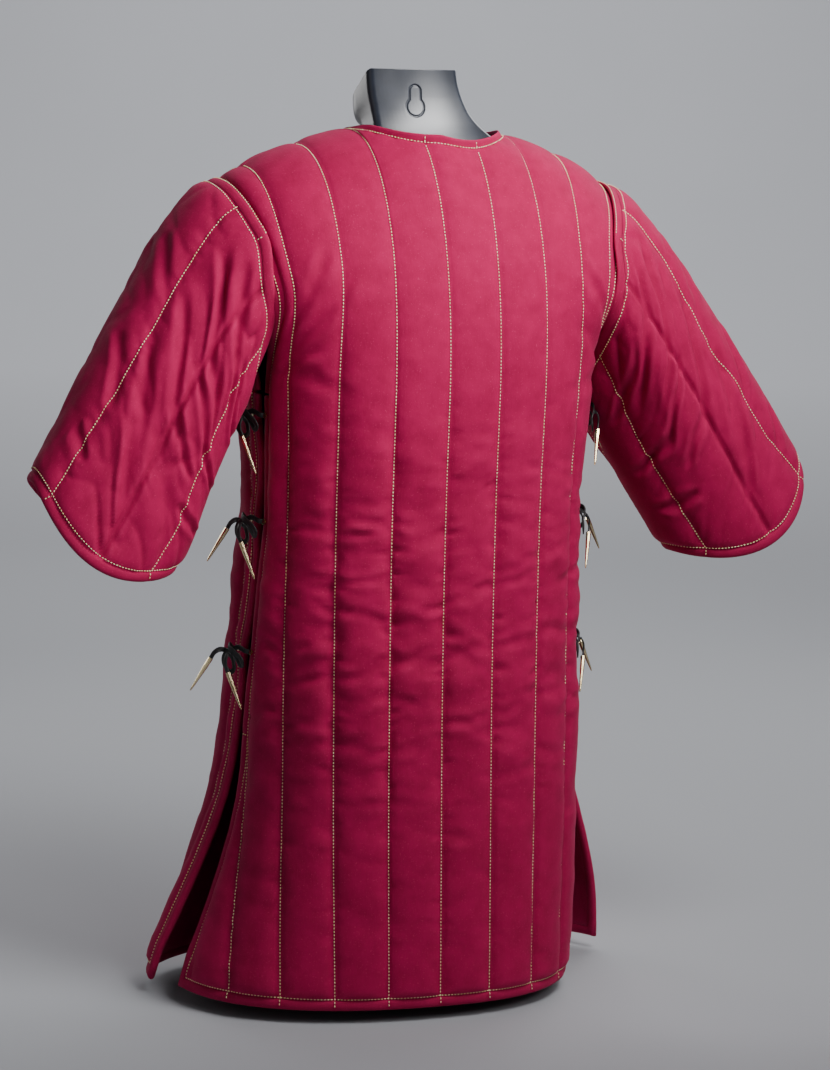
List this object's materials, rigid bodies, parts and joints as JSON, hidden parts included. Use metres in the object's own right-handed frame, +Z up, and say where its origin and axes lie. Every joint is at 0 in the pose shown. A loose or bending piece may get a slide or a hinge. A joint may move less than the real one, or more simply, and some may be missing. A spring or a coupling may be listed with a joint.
{
  "type": "quilted gambeson on a limbless dress form",
  "caption": "Padded arming coat with vertical quilting, elbow-length lapped sleeves, rolled edges and open sides tied with brass-tipped leather laces, shown on a limbless dress form.",
  "frame": {"origin": "centre of the dress form's flat base, on the floor", "axes": "+Z up; the wearer faces -Y, so the back is toward +Y and the wearer's left is +X"},
  "size_m": [0.9012, 0.3436, 1.006],
  "materials": {
    "crimson_cotton": "quilted cotton, matt",
    "crimson_binding": "rolled cotton edge, matt",
    "black_leather": "flat thong, semi-matt",
    "brass": "polished",
    "grey_plastic": "satin"
  },
  "bodies": {
    "root": {"back_panel": "crimson_cotton", "front_panel": "crimson_cotton", "left_sleeve": "crimson_cotton", "right_sleeve": "crimson_cotton", "back_edge_binding": "crimson_binding", "front_edge_binding": "crimson_binding", "left_armhole_binding": "crimson_binding", "right_armhole_binding": "crimson_binding", "neck_binding": "crimson_binding", "left_sleeve_head_binding": "crimson_binding", "left_sleeve_cuff_binding": "crimson_binding", "right_sleeve_head_binding": "crimson_binding", "right_sleeve_cuff_binding": "crimson_binding", "left_tie_1_front_lace": "black_leather", "left_tie_1_back_lace": "black_leather", "left_tie_2_front_lace": "black_leather", "left_tie_2_back_lace": "black_leather", "left_tie_3_front_lace": "black_leather", "left_tie_3_back_lace": "black_leather", "right_tie_1_front_lace": "black_leather", "right_tie_1_back_lace": "black_leather", "right_tie_2_front_lace": "black_leather", "right_tie_2_back_lace": "black_leather", "right_tie_3_front_lace": "black_leather", "right_tie_3_back_lace": "black_leather", "left_tie_1_front_aglet": "brass", "left_tie_1_back_aglet": "brass", "left_tie_2_front_aglet": "brass", "left_tie_2_back_aglet": "brass", "left_tie_3_front_aglet": "brass", "left_tie_3_back_aglet": "brass", "right_tie_1_front_aglet": "brass", "right_tie_1_back_aglet": "brass", "right_tie_2_front_aglet": "brass", "right_tie_2_back_aglet": "brass", "right_tie_3_front_aglet": "brass", "right_tie_3_back_aglet": "brass", "left_tie_1_front_eyelet": "brass", "left_tie_1_back_eyelet": "brass", "left_tie_2_front_eyelet": "brass", "left_tie_2_back_eyelet": "brass", "left_tie_3_front_eyelet": "brass", "left_tie_3_back_eyelet": "brass", "right_tie_1_front_eyelet": "brass", "right_tie_1_back_eyelet": "brass", "right_tie_2_front_eyelet": "brass", "right_tie_2_back_eyelet": "brass", "right_tie_3_front_eyelet": "brass", "right_tie_3_back_eyelet": "brass", "dress_form": "grey_plastic"}
  },
  "joints": []
}
